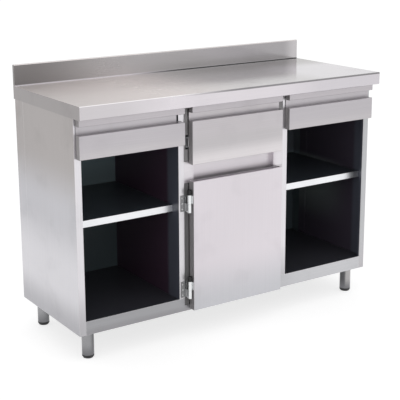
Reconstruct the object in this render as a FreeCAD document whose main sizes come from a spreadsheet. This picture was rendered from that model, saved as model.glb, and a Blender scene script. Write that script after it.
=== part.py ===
import FreeCAD, Part
import os
import re
import Sketcher

# A stainless steel back counter with three bays: a folded worktop on a sheet cabinet, three drawers on
# telescopic runners, two open bays with shelves, a hinged door and four legs with adjustable feet.
# X runs along the counter, Y from its front to its back and Z up. The origin lies on the floor, in the
# middle of the worktop's outline.

doc = FreeCAD.newDocument("ServiceStation")

SIZES = [
    # name, millimetres, what it is
    ("worktop_length", 1500, "worktop over both side lips"),
    ("worktop_depth", 600, "worktop from its front lip to the back of the upstand"),
    ("worktop_height", 1050, "working surface above the floor"),
    ("worktop_gauge", 1.5, "sheet of the worktop"),
    ("worktop_bend", 2.5, "inner bend radius of the worktop"),
    ("lip_height", 54, "front and side lips below the working surface"),
    ("lip_return", 18, "bottom fold of the front lip"),
    ("upstand_height", 90, "upstand above the working surface"),
    ("upstand_thickness", 15, "upstand from front to back"),
    ("stiffener_height", 25, "channels between cabinet and worktop"),
    ("stiffener_width", 50, "web of a stiffening channel"),
    ("stiffener_brim", 15, "brims of a stiffening channel"),
    ("stiffener_end_gap", 5, "from a stiffener's end to the cabinet's side"),
    ("sheet_gauge", 1.2, "sheet of the cabinet, the drawers and the door"),
    ("sheet_bend", 1, "inner bend radius of the fronts and the door"),
    ("frame_setback", 61.6, "cabinet frame behind the worktop's front edge"),
    ("side_inset", 2.4, "cabinet side inside the worktop's side lip"),
    ("back_inset", 6, "cabinet back in front of the worktop's rear edge"),
    ("leg_height", 118, "underside of the cabinet above the floor"),
    ("panel_flange", 28.8, "front flange of a side panel"),
    ("flange_lip", 15, "rearward lip on the edge of a front flange"),
    ("panel_foot", 106, "bottom fold of a side panel, which carries the legs"),
    ("panel_top_fold", 20, "top fold of side panels and dividers"),
    ("back_wrap", 77, "back panel's folds round the rear corners"),
    ("joggle_tab", 25, "overlap of side panel and back panel, each way"),
    ("centre_bay_width", 557.4, "between the outer faces of the dividers"),
    ("divider_flange", 25.8, "front flange of a divider"),
    ("rail_height", 57.5, "face of the bottom rail"),
    ("rail_return", 30, "bottom fold of the bottom rail"),
    ("rail_centre_height", 24, "face of the bottom rail in the centre bay"),
    ("floor_drop", 2.6, "side floors below the top of the bottom rail"),
    ("floor_fold", 25, "folds down round a floor pan"),
    ("shelf_drop", 475.5, "shelf surface below the working surface"),
    ("shelf_setback", 49, "shelf edge behind the cabinet frame"),
    ("shelf_fold", 28, "front and rear folds of a shelf"),
    ("shelf_hem", 12, "hem under a shelf's front fold"),
    ("shelf_gap", 0.3, "from a shelf's ends to the walls of its bay"),
    ("cleat_width", 25, "legs of a shelf cleat"),
    ("cleat_gauge", 1.5, "sheet of a shelf cleat"),
    ("cleat_end_gap", 16, "from the shelf's ends to those of its cleats"),
    ("front_projection", 30.6, "drawer fronts in front of the cabinet frame"),
    ("front_air", 2.1, "between the frame and the back of fronts and door"),
    ("front_top_gap", 3, "under the worktop's lip, above the drawer fronts"),
    ("hem_height", 27, "folded strip above the finger groove"),
    ("groove_height", 34, "finger groove of a drawer front"),
    ("side_front_height", 155, "side drawer front, hem and groove included"),
    ("centre_front_height", 241, "centre drawer front, hem and groove included"),
    ("side_front_margin", 11, "from a side front's outer end to the worktop's end"),
    ("side_front_overlap", 12.7, "side front past the divider's wall"),
    ("centre_front_gap", 23.5, "centre front's ends inside the edges of its opening"),
    ("groove_wall_margin", 23, "back wall of the left groove short of the divider's end"),
    ("runner_height", 45, "telescopic runner"),
    ("runner_thickness", 12.7, "telescopic runner between wall and tray"),
    ("runner_length", 450, "telescopic runner, closed"),
    ("runner_gauge", 1.5, "sheet of the runner's members"),
    ("runner_gap", 0.4, "ball track between two members"),
    ("runner_side_gap", 1, "outer member's edges to the tray"),
    ("runner_inset", 2, "front end of the runners behind the cabinet frame"),
    ("spacer_height", 60, "spacer channel that carries a runner"),
    ("spacer_setback", 18, "front end of a spacer channel behind the frame"),
    ("tray_depth", 450, "tray behind its drawer front"),
    ("tray_rise", 12, "tray's floor above the lower edge of its front"),
    ("tray_drop", 43, "tray's rim below the top of its front"),
    ("side_runner_rise", 52, "side runners' middle above the front's lower edge"),
    ("centre_runner_rise", 90, "centre runners' middle above the front's lower edge"),
    ("crossbar_drop", 288, "crossbar's top below the working surface"),
    ("crossbar_height", 90, "crossbar, which the door's top edge overlaps"),
    ("crossbar_fold", 40, "crossbar's top and bottom folds"),
    ("pocket_margin", 46.9, "finger pocket's ends inside the edges of the opening"),
    ("pocket_depth", 20, "finger pocket in the crossbar"),
    ("door_gap", 24.9, "door's sides inside the edges of its opening"),
    ("door_drop", 369, "door's top edge below the working surface"),
    ("door_rise", 7, "door's bottom edge above the underside of the cabinet"),
    ("door_projection", 33.6, "door's face in front of the cabinet frame"),
    ("grip_hem", 9, "door's top edge in front of its grip channel"),
    ("grip_depth", 21, "grip channel along the door's top edge"),
    ("plug_depth", 19, "liner's pan that stands into the opening"),
    ("plug_margin", 6, "liner's pan inside the door's sides"),
    ("plug_gap", 6, "liner's pan clear of rail and bottom of the opening"),
    ("plug_drop", 15, "liner's pan below the crossbar"),
    ("liner_air", 0.9, "between the closed door's back and the frame"),
    ("hinge_side", 11, "hinge axis beside the door's edge"),
    ("hinge_forward", 18.6, "hinge axis in front of the cabinet frame"),
    ("knuckle_diameter", 18, "hinge knuckles"),
    ("knuckle_height", 37, "each hinge knuckle"),
    ("knuckle_gap", 0.3, "between the two knuckles of a hinge"),
    ("pin_diameter", 10, "hinge pin"),
    ("pin_clearance", 0.05, "between hinge pin and sleeve, all round"),
    ("pin_top_gap", 2, "sleeve's end above the pin's end"),
    ("leaf_gauge", 3, "hinge leaves"),
    ("leaf_width", 18, "hinge leaf on the divider's flange"),
    ("leaf_end_gap", 3, "hinge leaves short of the knuckles' ends"),
    ("leaf_depth", 22, "hinge leaf on the door's side"),
    ("cap_height", 22, "black cap above a hinge"),
    ("cap_bevel", 3, "bevelled top edge of a hinge cap"),
    ("upper_hinge_drop", 499, "upper hinge's lower end below the working surface"),
    ("lower_hinge_drop", 872, "lower hinge's lower end below the working surface"),
    ("catch_width", 46, "magnetic catch"),
    ("catch_depth", 16, "magnetic catch"),
    ("catch_height", 32, "magnetic catch under the crossbar"),
    ("catch_margin", 26, "magnetic catch inside the liner's right side"),
    ("strike_thickness", 1.5, "strike plate on the door liner"),
    ("strike_gap", 0.3, "between the closed door's strike plate and the catch"),
    ("leg_diameter", 50, "leg tube"),
    ("leg_wall", 2, "leg tube"),
    ("leg_end_margin", 64, "leg axis from the worktop's end"),
    ("front_leg_setback", 116, "front leg axis behind the worktop's front edge"),
    ("rear_leg_setback", 534, "rear leg axis behind the worktop's front edge"),
    ("leg_plate", 84, "square plate on a leg's top"),
    ("leg_plate_gauge", 3, "plate on a leg's top"),
    ("leg_plate_chamfer", 12, "corners of the plate on a leg's top"),
    ("leg_insert", 18, "threaded insert in a leg's lower end"),
    ("foot_height", 14, "foot cap under its leg"),
    ("foot_taper", 4, "foot cap's lower edge inside its upper one"),
    ("foot_collar", 6, "cylindrical upper part of a foot cap"),
    ("stem_diameter", 12, "foot's stem in the leg's insert"),
    ("stem_length", 60, "foot's stem above its cap"),
    ("stem_clearance", 0.1, "between stem and insert, all round"),
]

PLACES = [
    # name, formula of sizes and earlier places, what it is
    ("worktop_end", "worktop_length / 2", "outer face of the right side lip"),
    ("worktop_front", "-worktop_depth / 2", "outer face of the front lip"),
    ("worktop_back", "worktop_depth / 2", "back of the upstand"),
    ("worktop_underside", "worktop_height - worktop_gauge", "seat of the stiffeners"),
    ("lip_bottom", "worktop_height - lip_height", "lower edge of the lips"),
    ("cabinet_top", "worktop_underside - stiffener_height", "seat of the stiffeners' webs"),
    ("cabinet_bottom", "leg_height", "underside of the cabinet"),
    ("cabinet_side", "worktop_end - side_inset", "outer face of the right side panel"),
    ("panel_inside", "cabinet_side - sheet_gauge", "inner face of the right side panel"),
    ("frame", "worktop_front + frame_setback", "front plane of the cabinet's flanges"),
    ("frame_inside", "frame + sheet_gauge", "rear face of the cabinet's flanges"),
    ("cabinet_back", "worktop_back - back_inset", "rear face of the back panel"),
    ("back_inside", "cabinet_back - sheet_gauge", "front face of the back panel"),
    ("panel_rear", "cabinet_back - back_wrap", "seam between side panel and back panel"),
    ("bay_outer", "cabinet_side - panel_flange", "outer edge of the right bay's opening"),
    ("divider_outside", "centre_bay_width / 2", "divider's face in the right bay"),
    ("divider_inside", "divider_outside - sheet_gauge", "divider's face in the centre bay"),
    ("centre_edge", "divider_outside - divider_flange", "edge of the centre bay's opening"),
    ("plinth_top", "cabinet_bottom + sheet_gauge", "top of the cabinet's bottom folds"),
    ("rail_top", "cabinet_bottom + rail_height", "top of the bottom rail"),
    ("rail_centre_top", "cabinet_bottom + rail_centre_height", "top of the rail in the centre bay"),
    ("floor_top", "rail_top - floor_drop", "floor of the side bays"),
    ("shelf_top", "worktop_height - shelf_drop", "shelf surface"),
    ("shelf_front", "frame + shelf_setback", "front face of a shelf"),
    ("front_face", "frame - front_projection", "face of the drawer fronts"),
    ("front_back", "frame - front_air", "rear edges of fronts and of the door's skin"),
    ("front_top", "lip_bottom - front_top_gap", "top of the drawer fronts"),
    ("groove_top", "front_top - hem_height", "upper edge of the finger groove"),
    ("groove_bottom", "groove_top - groove_height", "lower edge of the finger groove"),
    ("groove_back", "front_back - sheet_gauge", "visible face at the back of the groove and the grip"),
    ("tray_back", "front_back + tray_depth", "rear end of a tray"),
    ("tray_top", "front_top - tray_drop", "rim of a tray"),
    ("runner_front", "frame + runner_inset", "front end of the runners"),
    ("crossbar_top", "worktop_height - crossbar_drop", "top of the crossbar"),
    ("crossbar_bottom", "crossbar_top - crossbar_height", "top of the door's opening"),
    ("pocket_back", "frame + pocket_depth", "front face of the crossbar's recessed middle"),
    ("pocket_side", "centre_edge - pocket_margin", "right end of the crossbar's recessed middle"),
    ("centre_front_side", "centre_edge - centre_front_gap", "right end of the centre drawer's front"),
    ("door_face", "frame - door_projection", "front face of the door"),
    ("door_top", "worktop_height - door_drop", "top edge of the door"),
    ("door_bottom", "cabinet_bottom + door_rise", "bottom edge of the door"),
    ("door_side", "centre_edge - door_gap", "right edge of the door"),
    ("liner_back", "frame - liner_air", "rear face of the liner's brim"),
    ("plug_side", "door_side - plug_margin", "right side of the liner's pan"),
    ("plug_back", "liner_back + plug_depth", "rear face of the liner's pan"),
    ("plug_top", "crossbar_bottom - plug_drop", "top of the liner's pan"),
    ("plug_bottom", "rail_centre_top + plug_gap", "bottom of the liner's pan"),
    ("hinge_across", "-door_side - hinge_side", "hinge axis along the counter"),
    ("hinge_depth", "frame - hinge_forward", "hinge axis from front to back"),
    ("knuckle_radius", "knuckle_diameter / 2", "hinge knuckles"),
    ("leg_radius", "leg_diameter / 2", "outside of the leg tube"),
    ("leg_bore", "leg_radius - leg_wall", "inside of the leg tube"),
    ("stem_radius", "stem_diameter / 2", "foot's stem"),
]


# --- The sheet, the places and what is drawn from them -------------------------------------------------

sheet = doc.addObject("Spreadsheet::Sheet", "Sizes")
for row, (name, millimetres, meaning) in enumerate(SIZES, start=1):
    sheet.set("A%d" % row, name)
    sheet.set("B%d" % row, str(millimetres))
    sheet.setAlias("B%d" % row, name)
    sheet.set("C%d" % row, meaning)
doc.recompute()

OWNER = {name: "Sizes" for name, millimetres, meaning in SIZES}


def formula(text):
    """The document's expression for a formula written with the names of sizes and places."""
    return re.sub(r"[a-z_]+", lambda word: OWNER[word.group()] + "." + word.group(), text)


places = doc.addObject("App::VarSet", "Places")
for name, text, meaning in PLACES:
    places.addProperty("App::PropertyFloat", name, "Places", meaning)
    places.setExpression(name, formula(text))
    OWNER[name] = "Places"
doc.recompute()


def number(text):
    """What a formula comes to with the sizes as they are."""
    return places.evalExpression(formula(text))


def bind(thing, field, text):
    """Tie a field of an object to a formula."""
    thing.setExpression(field, formula(text))


def mirrored(hand, low, high):
    """Two ends of a stretch along X on the right (hand 1), or their mirror image (hand -1)."""
    return (low, high) if hand > 0 else (f"-({high})", f"-({low})")


def on_side(hand, place):
    """A place along X on the right (hand 1), or its mirror image (hand -1)."""
    return place if hand > 0 else f"-({place})"


def rectangle(left, right, low, high):
    """Corners of an upright rectangle."""
    return [(left, low), (right, low), (right, high), (left, high)]


def heading(start, end):
    """Unit step along a run that lies along one of the sketch's axes."""
    run = FreeCAD.Vector(number(end[0]) - number(start[0]), number(end[1]) - number(start[1]), 0)
    return run.normalize()


def shifted(text, step, size):
    """A coordinate moved along an axis by a size, where step is -1, 0 or 1."""
    if round(step) == 0:
        return text
    return f"({text}) {'+' if step > 0 else '-'} ({size})"


def folded(path, gauge, side, bend=None):
    """Outline of a sheet folded along a path of square turns, seen along its folds.

    The path is one face of the sheet. The sheet lies to the left of the path where side is 1 and to its
    right where side is -1. With a bend radius the inner corners get it, and the outer ones that and the
    gauge.
    """
    steps = [heading(path[index], path[index + 1]) for index in range(len(path) - 1)]
    normals = [FreeCAD.Vector(-side * step.y, side * step.x, 0) for step in steps]
    near = []
    far = []
    for index, (across, up) in enumerate(path):
        beside = normals[max(index - 1, 0):index + 1]
        move = beside[0] if len(beside) == 1 else beside[0] + beside[1]
        moved = (shifted(across, move.x, gauge), shifted(up, move.y, gauge))
        if bend is None or len(beside) == 1:
            near.append((across, up))
            far.append(moved)
            continue
        turn = steps[index - 1].cross(steps[index]).z * side
        outer = f"{bend} + {gauge}"
        near.append((across, up, outer if turn > 0 else bend))
        far.append(moved + (bend if turn > 0 else outer,))
    return near + far[::-1]


def draw_outline(sketch, corners):
    """Closed outline whose corners, and the radii of the rounded ones, follow their formulas."""
    ends = []
    for index, corner in enumerate(corners):
        if len(corner) == 2:
            ends.append((corner, corner))
            continue
        back = heading(corner, corners[index - 1])
        onward = heading(corner, corners[(index + 1) % len(corners)])
        ends.append(tuple((shifted(corner[0], way.x, corner[2]), shifted(corner[1], way.y, corner[2]))
                          for way in (back, onward)))
    first = sketch.GeometryCount
    count = len(corners)
    for index in range(count):
        start = ends[index][1]
        end = ends[(index + 1) % count][0]
        line = Part.LineSegment(FreeCAD.Vector(number(start[0]), number(start[1]), 0),
                                FreeCAD.Vector(number(end[0]), number(end[1]), 0))
        sketch.addGeometry(line, False)
        fix_point(sketch, first + index, 1, start)
        if len(corners[(index + 1) % count]) == 3:
            fix_point(sketch, first + index, 2, end)
    for index, corner in enumerate(corners):
        before = first + (index - 1) % count
        if len(corner) == 2:
            sketch.addConstraint(Sketcher.Constraint("Coincident", before, 2, first + index, 1))
        else:
            draw_bend(sketch, before, first + index, corner[2])


def draw_bend(sketch, before, after, radius):
    """Quarter circle between the end of one line and the start of the next."""
    start = sketch.Geometry[before].EndPoint
    end = sketch.Geometry[after].StartPoint
    arriving = start - sketch.Geometry[before].StartPoint
    leaving = sketch.Geometry[after].EndPoint - end
    left_turn = arriving.cross(leaving).z > 0
    centre = start + leaving.normalize() * number(radius)
    first, last = (start, end) if left_turn else (end, start)
    middle = centre - (centre * 2 - start - end).normalize() * number(radius)
    bend = sketch.addGeometry(Part.Arc(first, middle, last), False)
    sketch.addConstraint(Sketcher.Constraint("Coincident", before, 2, bend, 1 if left_turn else 2))
    sketch.addConstraint(Sketcher.Constraint("Coincident", after, 1, bend, 2 if left_turn else 1))
    tie(sketch, Sketcher.Constraint("Radius", bend, number(radius)), radius)


def draw_circle(sketch, across, up, radius):
    """Circle whose centre and radius follow their formulas."""
    centre = FreeCAD.Vector(number(across), number(up), 0)
    circle = sketch.addGeometry(Part.Circle(centre, FreeCAD.Vector(0, 0, 1), number(radius)), False)
    fix_point(sketch, circle, 3, (across, up))
    tie(sketch, Sketcher.Constraint("Radius", circle, number(radius)), radius)


def fix_point(sketch, element, point, place):
    """Hold one point of a sketch's element at a place given by two formulas."""
    for kind, text in zip(("DistanceX", "DistanceY"), place):
        tie(sketch, Sketcher.Constraint(kind, -1, 1, element, point, number(text)), text)


def tie(sketch, constraint, text):
    """Add a constraint whose value follows a formula."""
    index = sketch.addConstraint(constraint)
    sketch.setExpression("Constraints[%d]" % index, formula(text))


PLANES = {"X": "YZ_Plane", "Y": "XZ_Plane", "Z": "XY_Plane"}


def new_body(label):
    """Empty body with the sub-part's name."""
    body = doc.addObject("PartDesign::Body", label)
    body.Label = label
    return body


def new_sketch(body, axis, level="0"):
    """Sketch across an axis of the body at a level along it."""
    sketch = body.newObject("Sketcher::SketchObject", body.Label + "_sketch")
    plane = [item for item in body.Origin.OriginFeatures if item.Role == PLANES[axis]][0]
    sketch.AttachmentSupport = [(plane, "")]
    sketch.MapMode = "FlatFace"
    bind(sketch, "AttachmentOffset.Base.z", f"-({level})" if axis == "Y" else level)
    return sketch


def extrude(body, kind, axis, span, outlines):
    """Pad or pocket of outlines over a span along an axis; a circle is (across, up, radius)."""
    start, end = span
    sketch = new_sketch(body, axis, start)
    for outline in outlines:
        if isinstance(outline, tuple):
            draw_circle(sketch, *outline)
        else:
            draw_outline(sketch, outline)
    feature = body.newObject("PartDesign::" + kind, body.Label + "_" + kind)
    feature.Profile = sketch
    feature.Reversed = (axis == "Y") != (kind == "Pocket")
    bind(feature, "Length", f"({end}) - ({start})")
    return feature


def pad(body, axis, span, *outlines):
    """Material over a span along an axis."""
    return extrude(body, "Pad", axis, span, outlines)


def pocket(body, axis, span, *outlines):
    """Cut over a span along an axis."""
    return extrude(body, "Pocket", axis, span, outlines)


def revolve(body, corners):
    """Solid turned about the body's Z axis from corners given as radius and height."""
    sketch = new_sketch(body, "Y")
    draw_outline(sketch, corners)
    feature = body.newObject("PartDesign::Revolution", body.Label + "_Revolution")
    feature.Profile = sketch
    feature.ReferenceAxis = (sketch, ["V_Axis"])
    feature.Angle = 360
    return feature


def stand_at(body, across, depth, height="0"):
    """Put a body that is modelled about its own axis where it stands."""
    bind(body, "Placement.Base.x", across)
    bind(body, "Placement.Base.y", depth)
    bind(body, "Placement.Base.z", height)


SIDES = {"left": -1, "right": 1}


# --- Worktop -------------------------------------------------------------------------------------------

def make_worktop():
    """Sheet folded along the counter: lip return, front lip, top, upstand and rear skirt, with end lips."""
    body = new_body("worktop")
    upstand_face = "worktop_back - upstand_thickness"
    upstand_top = "worktop_height + upstand_height"
    profile = [("worktop_front + lip_return", "lip_bottom"),
               ("worktop_front", "lip_bottom"),
               ("worktop_front", "worktop_height"),
               (upstand_face, "worktop_height"),
               (upstand_face, upstand_top),
               ("worktop_back", upstand_top),
               ("worktop_back", "lip_bottom")]
    pad(body, "X", ("-worktop_end", "worktop_end"), folded(profile, "worktop_gauge", -1, "worktop_bend"))
    outside = "worktop_bend + worktop_gauge"
    end_lip = [("worktop_front", "lip_bottom", outside),
               ("worktop_front", "worktop_height", outside),
               (upstand_face, "worktop_height", "worktop_bend"),
               (upstand_face, upstand_top, outside),
               ("worktop_back", upstand_top, outside),
               ("worktop_back", "lip_bottom")]
    for hand in SIDES.values():
        pad(body, "X", mirrored(hand, "worktop_end - worktop_gauge", "worktop_end"), end_lip)
    return body


def make_stiffener(label, middle):
    """Hat channel along the counter between the cabinet's top folds and the worktop."""
    body = new_body(label)
    front = f"{middle} - stiffener_width / 2"
    back = f"{middle} + stiffener_width / 2"
    web = "cabinet_top + sheet_gauge"
    profile = [(f"{front} - stiffener_brim", "worktop_underside"),
               (front, "worktop_underside"),
               (front, web),
               (back, web),
               (back, "worktop_underside"),
               (f"{back} + stiffener_brim", "worktop_underside")]
    end = "cabinet_side - stiffener_end_gap"
    pad(body, "X", (f"-({end})", end), folded(profile, "sheet_gauge", -1))
    return body


# --- Cabinet -------------------------------------------------------------------------------------------

def make_side_panel(side):
    """Skin with top fold, front flange and lip, joggle tab behind the rear seam and bottom fold."""
    hand = SIDES[side]
    body = new_body("side_panel_" + side)
    plan = [(on_side(hand, "bay_outer"), "frame"),
            (on_side(hand, "cabinet_side"), "frame"),
            (on_side(hand, "cabinet_side"), "panel_rear")]
    pad(body, "Z", ("cabinet_bottom", "cabinet_top"), folded(plan, "sheet_gauge", hand))
    lip = rectangle(*mirrored(hand, "bay_outer", "bay_outer + sheet_gauge"), "frame", "frame + flange_lip")
    pad(body, "Z", ("rail_top", "cabinet_top"), lip)
    tab = rectangle(*mirrored(hand, "panel_inside - sheet_gauge", "panel_inside"),
                    "panel_rear - joggle_tab", "panel_rear + joggle_tab")
    pad(body, "Z", ("plinth_top", "cabinet_top - sheet_gauge"), tab)
    top_fold = rectangle(*mirrored(hand, "panel_inside - panel_top_fold", "panel_inside"),
                         "frame_inside", "panel_rear + joggle_tab")
    pad(body, "Z", ("cabinet_top - sheet_gauge", "cabinet_top"), top_fold)
    bottom_fold = rectangle(*mirrored(hand, "panel_inside - panel_foot", "panel_inside"),
                            "frame_inside", "back_inside")
    pad(body, "Z", ("cabinet_bottom", "plinth_top"), bottom_fold)
    return body


def make_divider(side):
    """Wall with a flange and lip turned to the centre bay, which stand on the bottom rail."""
    hand = SIDES[side]
    body = new_body("divider_" + side)
    plan = [(on_side(hand, "centre_edge"), "frame + flange_lip"),
            (on_side(hand, "centre_edge"), "frame"),
            (on_side(hand, "divider_outside"), "frame"),
            (on_side(hand, "divider_outside"), "back_inside")]
    pad(body, "Z", ("rail_top", "cabinet_top"), folded(plan, "sheet_gauge", hand))
    wall = rectangle(*mirrored(hand, "divider_inside", "divider_outside"), "frame_inside", "back_inside")
    pad(body, "Z", ("plinth_top", "rail_top"), wall)
    top_fold = rectangle(*mirrored(hand, "divider_outside", "divider_outside + panel_top_fold"),
                         "frame_inside", "back_inside")
    pad(body, "Z", ("cabinet_top - sheet_gauge", "cabinet_top"), top_fold)
    return body


def make_back_panel():
    """Sheet across the back, folded round both rear corners to meet the side panels."""
    body = new_body("back_panel")
    plan = [("-cabinet_side", "panel_rear"),
            ("-cabinet_side", "cabinet_back"),
            ("cabinet_side", "cabinet_back"),
            ("cabinet_side", "panel_rear")]
    pad(body, "Z", ("cabinet_bottom", "cabinet_top"), folded(plan, "sheet_gauge", -1))
    return body


def make_bottom_rail():
    """Angle along the foot of the front, cut down between the dividers' flanges."""
    body = new_body("bottom_rail")
    face = rectangle("-bay_outer", "bay_outer", "cabinet_bottom", "rail_top")
    pad(body, "Y", ("frame", "frame_inside"), face)
    fold_end = "panel_inside - panel_foot"
    fold = rectangle(f"-({fold_end})", fold_end, "frame_inside", "frame + rail_return")
    pad(body, "Z", ("cabinet_bottom", "plinth_top"), fold)
    window = rectangle("-centre_edge", "centre_edge", "rail_centre_top", "rail_top")
    pocket(body, "Y", ("frame", "frame_inside"), window)
    return body


def make_floor(name, span, top):
    """Floor pan of a bay, its four edges folded down."""
    left, right = span
    body = new_body("floor_" + name)
    low = f"{top} - floor_fold" if name != "centre" else "plinth_top"
    pad(body, "Z", (f"{low}", f"{top}"), rectangle(left, right, "frame_inside", "back_inside"))
    hollow = rectangle(f"{left} + sheet_gauge", f"{right} - sheet_gauge",
                       "frame_inside + sheet_gauge", "back_inside - sheet_gauge")
    pocket(body, "Z", (f"{low}", f"{top} - sheet_gauge"), hollow)
    return body


def make_crossbar():
    """Channel between the dividers whose middle is set back as a finger pocket."""
    body = new_body("crossbar")
    rear = "frame + crossbar_fold"

    def channel(face):
        """Section of the channel with its web at a given depth."""
        path = [(rear, "crossbar_top"),
                (face, "crossbar_top"),
                (face, "crossbar_bottom"),
                (rear, "crossbar_bottom")]
        return folded(path, "sheet_gauge", 1)

    pad(body, "X", ("-pocket_side", "pocket_side"), channel("pocket_back"))
    for hand in SIDES.values():
        pad(body, "X", mirrored(hand, "pocket_side", "centre_edge"), channel("frame"))
        cheek = rectangle("frame", "pocket_back + sheet_gauge", "crossbar_bottom", "crossbar_top")
        pad(body, "X", mirrored(hand, "pocket_side", "pocket_side + sheet_gauge"), cheek)
        ear = rectangle(*mirrored(hand, "centre_edge - flange_lip", "divider_inside"),
                        "crossbar_bottom", "crossbar_top")
        pad(body, "Y", ("frame + flange_lip", "frame + flange_lip + sheet_gauge"), ear)
    return body


def make_shelf(side):
    """Shelf with a hemmed front fold and a rear fold."""
    hand = SIDES[side]
    body = new_body("shelf_" + side)
    low = "shelf_top - shelf_fold"
    rear = "back_inside - shelf_gap"
    profile = [("shelf_front + shelf_hem", low),
               ("shelf_front", low),
               ("shelf_front", "shelf_top"),
               (rear, "shelf_top"),
               (rear, low)]
    span = mirrored(hand, "divider_outside + shelf_gap", "panel_inside - sheet_gauge - shelf_gap")
    pad(body, "X", span, folded(profile, "sheet_gauge", -1))
    return body


def make_cleat(side, place):
    """Angle under one end of a shelf, on the side panel or on the divider."""
    hand = SIDES[side]
    body = new_body("cleat_" + side + "_" + place)
    wall, edge = {"panel": ("panel_inside", "panel_inside - cleat_width"),
                  "divider": ("divider_outside", "divider_outside + cleat_width")}[place]
    top = "shelf_top - sheet_gauge"
    path = [(on_side(hand, edge), top),
            (on_side(hand, wall), top),
            (on_side(hand, wall), f"{top} - cleat_width")]
    turn = -hand if place == "panel" else hand
    ends = ("shelf_front + cleat_end_gap", "panel_rear - joggle_tab")
    pad(body, "Y", ends, folded(path, "cleat_gauge", turn))
    return body


# --- Legs and feet -------------------------------------------------------------------------------------

def make_leg(label, across, depth):
    """Tube with a chamfered top plate and an insert that the foot's stem runs in."""
    body = new_body(label)
    bore = "stem_radius + stem_clearance"
    plate_bottom = "leg_height - leg_plate_gauge"
    tube = [(bore, "foot_height"),
            ("leg_radius", "foot_height"),
            ("leg_radius", plate_bottom),
            ("leg_bore", plate_bottom),
            ("leg_bore", "foot_height + leg_insert"),
            (bore, "foot_height + leg_insert")]
    revolve(body, tube)
    half = "leg_plate / 2"
    cut = "leg_plate / 2 - leg_plate_chamfer"
    plate = [(f"-{half}", f"-({cut})"), (f"-({cut})", f"-{half}"), (cut, f"-{half}"), (half, f"-({cut})"),
             (half, cut), (cut, half), (f"-({cut})", half), (f"-{half}", cut)]
    pad(body, "Z", (plate_bottom, "leg_height"), plate)
    stand_at(body, across, depth)
    return body


def make_foot(label, across, depth):
    """Tapered cap under the leg with a stem up into it."""
    body = new_body(label)
    stem_top = "foot_height + stem_length"
    profile = [("0", "0"),
               ("leg_radius - foot_taper", "0"),
               ("leg_radius", "foot_height - foot_collar"),
               ("leg_radius", "foot_height"),
               ("stem_radius", "foot_height"),
               ("stem_radius", stem_top),
               ("0", stem_top)]
    revolve(body, profile)
    stand_at(body, across, depth)
    return body


# --- Drawers -------------------------------------------------------------------------------------------

class Drawer:
    """Where one drawer's front, tray and runners lie, as formulas."""

    def __init__(self, name):
        self.name = name
        if name == "centre":
            self.front = ("-centre_front_side", "centre_front_side")
            self.tray = self.front
            self.height = "centre_front_height"
            self.rise = "centre_runner_rise"
            self.spacers = {"left": ("-divider_inside", "-centre_front_side - runner_thickness"),
                            "right": ("centre_front_side + runner_thickness", "divider_inside")}
        else:
            hand = SIDES[name]
            self.front = mirrored(hand, "divider_outside - side_front_overlap",
                                  "worktop_end - side_front_margin")
            self.tray = mirrored(hand, "divider_outside + runner_thickness",
                                 "bay_outer - runner_thickness")
            self.height = "side_front_height"
            self.rise = "side_runner_rise"
            self.spacers = {name: mirrored(hand, "bay_outer", "panel_inside")}
        self.bottom = f"front_top - {self.height}"
        self.runner_middle = f"{self.bottom} + {self.rise}"

    def runner_wall(self, side):
        """Face that the runner on one side is screwed to, and the way from it to the tray."""
        if side == "left":
            return f"{self.tray[0]} - runner_thickness", 1
        return f"{self.tray[1]} + runner_thickness", -1


def make_drawer_front(drawer):
    """Front folded from one sheet: lower edge, face, finger groove across its width and top hem."""
    body = new_body("drawer_front_" + drawer.name)
    left, right = drawer.front
    profile = [("front_back", drawer.bottom),
               ("front_face", drawer.bottom),
               ("front_face", "groove_bottom"),
               ("groove_back", "groove_bottom"),
               ("groove_back", "groove_top"),
               ("front_face", "groove_top"),
               ("front_face", "front_top"),
               ("front_back", "front_top")]
    pad(body, "X", (left, right), folded(profile, "sheet_gauge", -1, "sheet_bend"))
    lower_cheek = rectangle("front_face + sheet_bend", "front_back",
                            f"{drawer.bottom} + sheet_bend", "groove_bottom - sheet_bend")
    upper_cheek = rectangle("front_face + sheet_bend", "front_back",
                            "groove_top + sheet_bend", "front_top - sheet_bend")
    for start, end in ((left, f"{left} + sheet_gauge"), (f"{right} - sheet_gauge", right)):
        pad(body, "X", (start, end), lower_cheek, upper_cheek)
    if drawer.name == "left":
        slot = rectangle(f"{right} - groove_wall_margin", right,
                         "groove_bottom + sheet_bend", "groove_top - sheet_bend")
        pocket(body, "Y", ("groove_back", "front_back"), slot)
    return body


def make_drawer_tray(drawer):
    """Open tray folded from sheet, with the runners' inner members on its sides."""
    body = new_body("drawer_tray_" + drawer.name)
    left, right = drawer.tray
    floor = f"{drawer.bottom} + tray_rise"
    pad(body, "Z", (floor, "tray_top"), rectangle(left, right, "front_back", "tray_back"))
    room = rectangle(f"{left} + sheet_gauge", f"{right} - sheet_gauge",
                     "front_back + sheet_gauge", "tray_back - sheet_gauge")
    pocket(body, "Z", (f"{floor} + sheet_gauge", "tray_top"), room)
    for side in SIDES:
        wall, hand = drawer.runner_wall(side)
        pad_member(body, drawer, wall, hand, "inner")
    return body


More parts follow.
